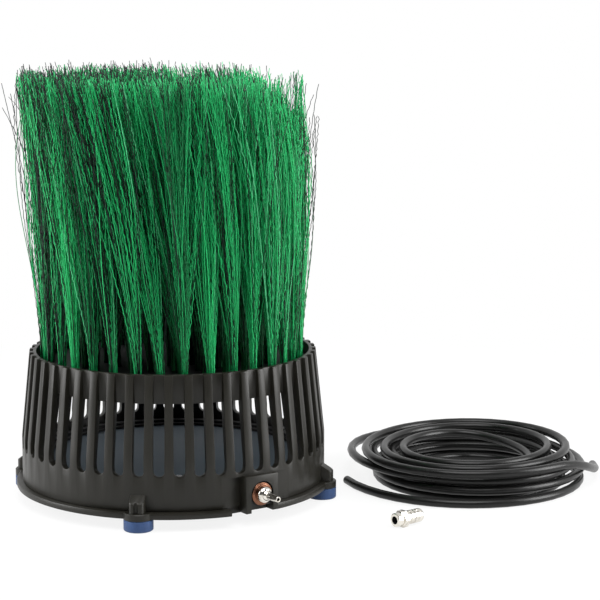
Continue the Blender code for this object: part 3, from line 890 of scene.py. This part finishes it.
def makeMembrane(v):
    side, top, low = v["membrane"], v["top"], v["low"]
    shape = lathe([(0.0, top), (side, top), (side, low), (0.0, low)], 128, False)
    addPiece("airMembrane", shape, membraneRubber, "grey_rubber", "air_membrane")
    base = top + gap
    edge = 0.0003
    profile = [
        (v["ringInner"], base + v["innerHeight"] - edge),
        (v["ringInner"] + edge, base + v["innerHeight"]),
        (v["ringStep"], base + v["innerHeight"]),
        (v["ringStep"], base + v["outerHeight"] - edge),
        (v["ringStep"] + edge, base + v["outerHeight"]),
        (v["ringOuter"] - edge, base + v["outerHeight"]),
        (v["ringOuter"], base + v["outerHeight"] - edge),
        (v["ringOuter"], low),
        (side + gap, low),
        (side + gap, base),
        (v["ringInner"], base),
    ]
    ring = lathe(profile, 160)
    addPiece("clampRing", ring, innerPlastic, "dark_plastic", "clamp_ring")


makeMembrane(chamber)

nozzle = {
    "face": 0.1085,
    "washerRadius": 0.0078,
    "washerThickness": 0.0025,
    "nutAcross": 0.0106,
    "nutLength": 0.0050,
    "stem": 0.0019,
    "barb": 0.00225,
    "bore": 0.0011,
    "barbStep": 0.0030,
    "thread": 0.0032,
    "tip": 0.1285,
    "inside": 0.0977,
}


def hexPrism(across, low, high):
    # hexagon along z with its edges slightly rounded
    corner = across / math.sqrt(3)
    shape = bmesh.new()
    bmesh.ops.create_cone(
        shape, cap_ends=True, segments=6, radius1=corner, radius2=corner, depth=high - low,
        matrix=Matrix.Translation((0, 0, (low + high) / 2)),
    )
    bevelAll(shape, 0.00015)
    return shape


def makeNozzle(v, n):
    lay = Matrix.Translation((0, 0, n["height"])) @ Matrix.Rotation(math.pi / 2, 4, "X")
    face = v["face"]
    nutStart = face + v["washerThickness"] + gap
    nutEnd = nutStart + v["nutLength"]
    stub = v["thread"] + gap
    edge = 0.0004
    wide, front = v["washerRadius"], nutStart - gap
    washer = lathe(
        [
            (wide - 0.0016, front),
            (wide - 0.0017, front - 0.0005),
            (wide - 0.0012, front - 0.0006),
            (wide - 0.0009, front - 0.0010),
            (wide - 0.0003, front - 0.0011),
            (wide, front - 0.0014),
            (wide, face + edge),
            (wide - edge, face),
            (stub, face),
            (stub, front),
        ],
        96,
    )
    bmesh.ops.transform(washer, matrix=lay, verts=washer.verts)
    addPiece("copperWasher", washer, copperMetal, "copper", "inlet_washer")

    prism = hexPrism(v["nutAcross"], nutStart, nutStart + v["nutLength"] * 0.98)
    nut = addPiece("domeNut", prism, nickelMetal, "nickel", "inlet_nut")
    wide = v["nutAcross"] / 2 + 0.0002
    arc = np.linspace(0.05, math.pi / 2, 14)
    dome = [(0.0, nutEnd)]
    dome += [(wide * math.sin(a), nutStart + v["nutLength"] * (0.25 + 0.75 * math.cos(a))) for a in arc]
    dome += [(wide, nutStart - 0.001), (wide + 0.004, nutStart - 0.001), (wide + 0.004, nutEnd + 0.002)]
    dome += [(0.0, nutEnd + 0.002)]
    cutWith(nut, lathe(dome, 96, False))
    high, low = nutEnd + 0.01, face - 0.01
    cutWith(nut, lathe([(0.0, high), (stub, high), (stub, low), (0.0, low)], 48, False))
    bake(nut)
    nut.data.transform(lay)

    ridge = v["tip"] - 3 * v["barb"]
    step = v["barbStep"]
    profile = [(v["stem"] - 0.0002, v["tip"]), (v["stem"], v["tip"] - 0.0002)]
    profile += [
        (v["barb"], ridge),
        (v["stem"], ridge - 0.0003),
        (v["barb"], ridge - step),
        (v["stem"], ridge - step - 0.0003),
        (v["stem"], nutEnd + 0.0006),
        (v["stem"] + 0.0004, nutEnd + 0.0002),
        (v["thread"], nutEnd - 0.0010),
        (v["thread"], v["inside"]),
        (v["bore"], v["inside"]),
        (v["bore"], v["tip"] - 0.0002),
        (v["bore"] + 0.0002, v["tip"]),
    ]
    stem = lathe(profile, 64)
    bmesh.ops.transform(stem, matrix=lay, verts=stem.verts)
    addPiece("hoseBarb", stem, nickelMetal, "nickel", "inlet_nozzle")


makeNozzle(nozzle, inlet)
print("inlet made")

valve = {
    "place": (0.0771, -0.1671),
    "angle": math.radians(4.7),
    "radius": 0.0046,
    "hexAcross": 0.0105,
    "hexLength": 0.0060,
    "hexFrom": 0.0048,
    "hexShow": 0.0044,
    "body": 0.0150,
    "end": 0.0080,
    "bore": 0.0033,
    "mouth": 0.0027,
    # thickness of the dark sleeve that paints shade inside the mouth
    "shadeSleeve": 0.0002,
    "chamfer": 0.0005,
    "port": 0.0012,
    "wall": 0.0012,
    "endRound": 0.0016,
}


def layValve(v):
    # down on a flat of its hexagon, along its own direction
    turn = Matrix.Rotation(v["angle"], 4, "Z") @ Matrix.Rotation(math.pi / 2, 4, "Y")
    return Matrix.Translation((*v["place"], v["hexAcross"] / 2)) @ turn


def makeValve(v):
    lay = layValve(v)
    start = -(v["body"] + v["end"]) / 2
    joint = start + v["body"]
    end = joint + v["end"]
    seat = start + v["hexLength"]
    radius = v["radius"]
    profile = [
        (radius - 0.0003, joint),
        (radius, joint - 0.0003),
        (radius, joint - 0.0030),
        (radius - 0.0005, joint - 0.0034),
        (radius - 0.0005, joint - 0.0044),
        (radius, joint - 0.0048),
        (radius, start + v["chamfer"]),
        (radius - v["chamfer"], start),
        (v["mouth"], start),
        (v["mouth"], seat - v["wall"]),
        (v["port"], seat - v["wall"]),
        (v["port"], seat),
        (v["bore"], seat),
        (v["bore"], joint),
    ]
    shape = lathe(profile, 72)
    body = addPiece("valveBody", shape, nickelMetal, "nickel", "valve_body")
    low = start + v["hexFrom"]
    shape = hexPrism(v["hexAcross"], low, low + v["hexShow"])
    collar = addPiece("valveHex", shape, nickelMetal, "nickel")
    middle = (radius + v["bore"]) / 2
    cutWith(collar, lathe([(0.0, joint), (middle, joint), (middle, start), (0.0, start)], 48, False))
    bake(collar)
    # painted shade: a dark sleeve just inside the mouth darkens the bore, which would otherwise reflect the
    # white surroundings
    inner, outer = v["mouth"] - v["shadeSleeve"], v["mouth"] - 0.00005
    low, high = start + 0.0001, seat - 0.0013
    sleeve = lathe([(inner, high), (outer, high), (outer, low), (inner, low)], 48)
    shadeSleeve = addPiece("valveMouthShade", sleeve, innerPlastic, "dark_plastic")
    for piece in (body, collar, shadeSleeve):
        piece.data.transform(lay)
    spigot = v["bore"] - gap
    spigotEnd = joint + gap - v["wall"]
    tip, quarter = v["endRound"], np.linspace(0, math.pi / 2, 7)
    rounded = [(radius - tip + tip * math.sin(a), end - tip + tip * math.cos(a)) for a in quarter]
    profile = [(v["port"], end)] + rounded
    profile += [
        (radius, joint + 0.0034),
        (radius - 0.0004, joint + 0.0031),
        (radius - 0.0004, joint + 0.0022),
        (radius, joint + 0.0019),
        (radius, joint + 0.0006),
        (radius - 0.0003, joint + gap),
        (spigot, joint + gap),
        (spigot, spigotEnd),
        (v["port"], spigotEnd),
    ]
    shape = lathe(profile, 72)
    cap = addPiece("valveEnd", shape, nickelMetal, "nickel", "valve_end")
    cap.data.transform(lay)


spring = {"from": -0.0019, "to": 0.0020, "radius": 0.0023, "wire": 0.0005, "turns": 4, "turnPoints": 20}


def makeSpring(v, n):
    # a coil of wire round the valve's axis, laid with the valve
    lay = layValve(n)
    steps = v["turns"] * v["turnPoints"]
    path = []
    for k in range(steps + 1):
        a = 2 * math.pi * k / v["turnPoints"]
        along = v["from"] + (v["to"] - v["from"]) * k / steps
        path.append(lay @ Vector((v["radius"] * math.cos(a), v["radius"] * math.sin(a), along)))
    shape = sweep(path, [(k, v["wire"] / 2) for k in range(steps + 1)], 10)
    piece = newObject("valveSpring", newMesh("valveSpring", shape))
    piece.data.materials.append(steelMetal)
    piece.data.shade_smooth()
    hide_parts("valve_spring")
    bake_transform(piece)


makeValve(valve)
makeSpring(spring, valve)
print("valve made")


brush = {
    "seed": 11,
    "rings": [(0.0880, 34, 90), (0.0670, 26, 84), (0.0460, 18, 72), (0.0250, 10, 60), (0.0040, 1, 60)],
    "tuftRadius": 0.0025,
    "tuftScatter": 0.0006,
    "root": 0.0940,
    "top": 0.2925,
    "highest": 0.2980,
    "leanAway": 0.0190,
    "leanLeft": (0.0250, -0.0085, -0.0210),     # in the middle, and how it changes across the view
    "leanPower": (1.3, 2.3),
    "tuftLean": 0.0125,
    "rootFan": 1.5,
    "spread": 0.0058,
    "looseShare": 0.42,
    "looseSpread": 0.0185,
    "strayShare": 0.09,
    "straySpread": 0.0230,
    "freeShare": 0.35,                          # of the strays, that reach furthest out
    "bow": 0.0040,
    "sway": 0.0022,
    "ragged": 0.0170,
    "raggedPower": 1.7,
    "tipScatter": 0.0018,
    "shortSide": (0.062, 0.094, 0.026),         # the right side's tips: from, to, and how much lower
    "shortShare": 0.85,
    "crimp": 0.00036,
    "crimpLength": 0.0072,
    "crimpPoints": 3,
    "radius": 0.00031,
    "tipRadius": 0.00026,
    "tones": (0.45, 0.52),                      # a tuft's share and a strand's share
    "palestShare": 0.6,
    "blackShares": ([0.05, 0.20, 0.50], [0.40, 0.38, 0.22]),
    "darkSide": (0.066, 0.42),                  # beyond this far to the left, this share is black
    "strandsPerPiece": 300,
    "blackRise": 0.0030,
    "middle": 0.0165,
    "reach": 0.0890,
    "reachSoft": 0.0100,
    "strayReach": 0.1000,
}


def keepWithin(points, centre, reach, soft):
    # ease the points that stray past the brush's reach back towards it
    offset = points - centre
    distance = np.linalg.norm(offset, axis=1)
    eased = np.minimum(distance, reach) + soft * (1 - np.exp(-np.maximum(0.0, distance - reach) / soft))
    return centre + offset * (eased / np.maximum(distance, 1e-6))[:, None]


def viewAxes():
    # to the right of the view, and away from it
    turn = math.radians(cameraPlace["turn"])
    return np.array([math.cos(turn), math.sin(turn)]), np.array([-math.sin(turn), math.cos(turn)])


def leanOf(v, middles):
    # the whole brush leans away from the viewer and to the left, most in its middle
    right, away = viewAxes()
    share = (middles @ right)[:, None] / v["rings"][0][0]
    most, slope, curve = v["leanLeft"]
    left = most + slope * share + curve * share**2
    return v["leanAway"] * away - left * right, right


def strandPaths(v, roots, middles, tuftNumber, isBlack, random):
    # one row of points for each strand, fanned out of its tuft, bowed and crimped
    count = len(roots)
    stray = random.random(count) < v["strayShare"]
    spread = np.where(random.random(count) < v["looseShare"], v["looseSpread"], v["spread"])
    spread = np.where(stray, v["straySpread"], spread)
    fan = random.normal(0, 1, (count, 2)) * spread[:, None] + (roots - middles) * v["rootFan"]
    tufts = int(tuftNumber.max()) + 1
    lean, right = leanOf(v, middles)
    lean = lean + random.normal(0, v["tuftLean"], (tufts, 2))[tuftNumber]
    centre = leanOf(v, np.zeros((1, 2)))[0][0] + v["middle"] * right
    tips = roots + fan + lean
    held = keepWithin(tips, centre, v["reach"], v["reachSoft"])
    loose = keepWithin(tips, centre, v["strayReach"], v["reachSoft"])
    free = stray & (random.random(count) < v["freeShare"])
    tips = np.where(free[:, None], loose, held)
    lean = tips - roots - fan
    tipHeight = v["top"] - v["ragged"] * random.random(count) ** v["raggedPower"]
    tipHeight += random.normal(0, v["tipScatter"], count) + np.where(isBlack, v["blackRise"], 0.0)
    low, high, drop = v["shortSide"]
    drop = np.where(random.random(count) < v["shortShare"], drop, 0.1 * drop)
    tipHeight -= drop * np.clip(((tips - centre) @ right - low) / (high - low), 0, 1)
    tipHeight -= 0.3 * np.linalg.norm(tips - roots, axis=1) ** 2 / (v["top"] - v["root"])
    tipHeight = np.minimum(tipHeight, v["highest"])
    waves = (v["top"] - v["root"]) / v["crimpLength"]
    points = int(waves * v["crimpPoints"])
    t = np.linspace(0, 1, points + 1)[None, :]
    bowSize = random.normal(0, v["bow"], (count, 2))
    sway = random.normal(0, v["sway"], (count, 2))
    low, high = v["leanPower"]
    power = (low + (high - low) * random.random(tufts)[tuftNumber] + 0.2 * random.random(count))[:, None]
    phase = random.random((count, 1)) * 2 * math.pi
    pace = waves * (0.75 + 0.5 * random.random((count, 1)))
    wave = np.sin(2 * math.pi * pace * t + phase) * v["crimp"] * (0.3 + 1.4 * random.random((count, 1)))
    wave *= np.minimum(1.0, t * 8)
    heading = random.random((count, 1)) * 2 * math.pi
    path = np.empty((count, points + 1, 3))
    for axis, turned in ((0, np.cos(heading)), (1, np.sin(heading))):
        path[:, :, axis] = roots[:, axis][:, None] + fan[:, axis][:, None] * t**1.6
        path[:, :, axis] += lean[:, axis][:, None] * t**power
        path[:, :, axis] += bowSize[:, axis][:, None] * np.sin(math.pi * t) * t**0.5
        path[:, :, axis] += sway[:, axis][:, None] * np.sin(2 * math.pi * t) * t + wave * turned
    path[:, :, 2] = v["root"] + (tipHeight[:, None] - v["root"]) * t
    return path, stray, free


def strandMesh(name, v, paths, tones, depth):
    # three-sided tubes with closed ends, as one mesh
    count, points, _ = paths.shape
    sides = 3
    radius = np.linspace(v["radius"], v["tipRadius"], points)
    angles = np.arange(sides) * 2 * math.pi / sides
    rim = np.stack([np.cos(angles), np.sin(angles), np.zeros(sides)], axis=1)
    verts = paths[:, :, None, :] + radius[None, :, None, None] * rim[None, None, :, :]
    index = np.arange(count * points * sides).reshape(count, points, sides)
    here = index[:, :-1, :]
    above = index[:, 1:, :]
    quads = np.stack([here, np.roll(here, -1, 2), np.roll(above, -1, 2), above], axis=-1).reshape(-1, 4)
    foots = index[:, 0, ::-1].reshape(-1, 3)
    heads = index[:, -1, :].reshape(-1, 3)
    mesh = bpy.data.meshes.new(name)
    mesh.from_pydata(verts.reshape(-1, 3), [], quads.tolist() + foots.tolist() + heads.tolist())
    tone = mesh.attributes.new("tone", "FLOAT", "POINT")
    tone.data.foreach_set("value", np.repeat(tones, points * sides))
    # how deep in the brush the strands stand, which sets how much painted shade they get
    inside = mesh.attributes.new("depth", "FLOAT", "POINT")
    inside.data.foreach_set("value", np.full(count * points * sides, depth))
    mesh.shade_smooth()
    return mesh


def makeBrush(v):
    random = np.random.default_rng(v["seed"])
    nodes = ["brush_outer_ring", "brush_middle_ring", "brush_core", "brush_core", "brush_core"]
    shares, odds = v["blackShares"]
    right = viewAxes()[0]
    tuftTone, strandTone = v["tones"]
    total = 0
    for number, (radius, tufts, strands) in enumerate(v["rings"]):
        angles = 2 * math.pi * (np.arange(tufts) + 0.5 * (number % 2)) / tufts
        centres = radius * np.stack([np.cos(angles), np.sin(angles)], axis=1)
        centres += random.normal(0, v["tuftScatter"], centres.shape)
        middles = np.repeat(centres, strands, axis=0)
        tuftNumber = np.repeat(np.arange(tufts), strands)
        place = v["tuftRadius"] * np.sqrt(random.random(len(middles)))
        around = random.random(len(middles)) * 2 * math.pi
        roots = middles + place[:, None] * np.stack([np.cos(around), np.sin(around)], axis=1)
        tuftBlack = random.choice(shares, tufts, p=odds)[tuftNumber]
        toLeft = -(right[0] * middles[:, 0] + right[1] * middles[:, 1])
        tuftBlack = np.maximum(tuftBlack, np.where(toLeft > v["darkSide"][0], v["darkSide"][1], 0.0))
        # 0 for the outer ring, more inwards; deeper strands get more painted shade
        depth = 1 - radius / v["rings"][0][0]
        isBlack = random.random(len(middles)) < tuftBlack
        paths, stray, free = strandPaths(v, roots, middles, tuftNumber, isBlack, random)
        isBlack = isBlack | free
        tones = tuftTone * random.random(tufts)[tuftNumber] + strandTone * random.random(len(middles))
        tones = np.where(stray & (random.random(len(middles)) < v["palestShare"]), 1.0, tones)
        for label, chosen, material, slot in (
            ("green", ~isBlack, greenFilament, "green_nylon"),
            ("black", isBlack, blackFilament, "black_nylon"),
        ):
            rows = np.flatnonzero(chosen)
            for part, first in enumerate(range(0, len(rows), v["strandsPerPiece"])):
                some = rows[first : first + v["strandsPerPiece"]]
                name = f"bristles_{label}_{number + 1}_{part + 1}"
                piece = newObject(name, strandMesh(name, v, paths[some], tones[some], depth))
                piece.data.materials.append(material)
                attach(piece, "root")
                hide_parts(nodes[number])
                total += len(some)
    print(f"{total} bristles made")


makeBrush(brush)


# CAD pieces that keep their shape and get a finish
keptFinishes = {
    "ballast_plate": steelMetal,
    "diffuser_body": innerPlastic,
    "membrane_seal": membraneRubber,
    "brush_plate": innerPlastic,
    "valve_seal": membraneRubber,
    "valve_poppet": steelMetal,
}
for number in range(1, 7):
    keptFinishes[f"clamp_screw_{number}"] = steelMetal
for corner in corners:
    keptFinishes[f"foot_screw_{corner}"] = steelMetal
    keptFinishes[f"brush_screw_{corner}"] = steelMetal
for name, material in keptFinishes.items():
    item = bpy.data.objects[name]
    for place in item.material_slots:
        place.material = material


studio = {
    "floorSize": 6.0,
    "floorDrop": 0.0002,
    "floorShade": 0.86,
    "nearGlow": 0.86,       # how white the floor shows beside the object, where its shadow falls
    "mirroredGlow": 0.8,    # and how bright polished surfaces reflect it
    "fadeAround": (0.08, -0.04, 0.0),
    "fadeFrom": 0.22,
    "fadeTo": 0.60,
    "worldDark": 0.10,      # the room behind the viewer
    "worldPale": 0.85,      # the white surroundings beside and behind the object
    "darkFrom": -0.75,
    "paleFrom": 0.25,
}


def seenFrom(tree, gloss):
    # 1 for what the camera sees, less for what polished surfaces reflect
    light = node(tree, "ShaderNodeLightPath").outputs
    shiny = calculate(tree, "MAXIMUM", light["Is Glossy Ray"], light["Is Transmission Ray"])
    return calculate(tree, "MAXIMUM", calculate(tree, "MULTIPLY", shiny, gloss), light["Is Camera Ray"])


def makeFloor(v):
    shape = bmesh.new()
    bmesh.ops.create_grid(shape, x_segments=1, y_segments=1, size=v["floorSize"])
    floor = newObject("studioFloor", newMesh("studioFloor", shape))
    floor.location.z = -v["floorDrop"]
    material, tree, shader = baseMaterial("paleFloor")
    shade = (v["floorShade"],) * 3
    feed(tree, shader, {"Base Color": (*shade, 1.0), "Roughness": 0.6, "Specular IOR Level": 0.1})
    glow = node(tree, "ShaderNodeEmission", {"Color": (1, 1, 1, 1), "Strength": 1.0})
    values = {0: objectPlace(tree), 1: v["fadeAround"]}
    away = node(tree, "ShaderNodeVectorMath", values, operation="DISTANCE").outputs["Value"]
    fade = mapRange(tree, away, v["fadeFrom"], v["fadeTo"], v["nearGlow"], 1.0, "SMOOTHSTEP")
    amount = calculate(tree, "MULTIPLY", seenFrom(tree, v["mirroredGlow"]), fade)
    values = {"Fac": amount, 1: shader.outputs["BSDF"], 2: glow.outputs["Emission"]}
    mix = node(tree, "ShaderNodeMixShader", values)
    feed(tree, tree.nodes["Material Output"], {"Surface": mix.outputs["Shader"]})
    floor.data.materials.append(material)


def makeWorld(v):
    # white where the camera sees it; else pale around the object and dark behind the viewer
    world = bpy.data.worlds.new("studioWorld")
    scene.world = world
    world.use_nodes = True
    tree = world.node_tree
    tree.nodes.clear()
    values = {
        0: node(tree, "ShaderNodeTexCoord").outputs["Generated"],
        1: viewTurn @ Vector((0.0, 1.0, 0.0)),
    }
    away = node(tree, "ShaderNodeVectorMath", values, operation="DOT_PRODUCT").outputs["Value"]
    ends = v["darkFrom"], v["paleFrom"], v["worldDark"], v["worldPale"]
    grade = mapRange(tree, away, *ends, "SMOOTHSTEP")
    camera = node(tree, "ShaderNodeLightPath").outputs["Is Camera Ray"]
    strength = calculate(tree, "MAXIMUM", grade, camera)
    white = node(tree, "ShaderNodeBackground", {"Color": (1, 1, 1, 1), "Strength": strength})
    node(tree, "ShaderNodeOutputWorld", {"Surface": white.outputs["Background"]})


def addLamp(name, place, aim, size, power):
    data = bpy.data.lights.new(name, "AREA")
    data.shape = "RECTANGLE"
    data.size, data.size_y = size
    data.energy = power
    lamp = newObject(name, data)
    lamp.location = viewTurn @ Vector(place)
    toward = viewTurn @ Vector(aim) - lamp.location
    lamp.rotation_euler = toward.to_track_quat("-Z", "Y").to_euler()


makeFloor(studio)
makeWorld(studio)
addLamp("softboxLeft", (-1.6, -0.2, 0.7), (0.0, 0.0, 0.15), (0.9, 1.4), 34)
addLamp("softboxRight", (1.8, -0.3, 0.7), (0.1, 0.0, 0.15), (0.9, 1.4), 40)
addLamp("softboxTop", (0.1, -0.9, 1.9), (0.1, 0.0, 0.1), (1.4, 1.4), 31)
print("studio made")

bpy.context.view_layer.update()
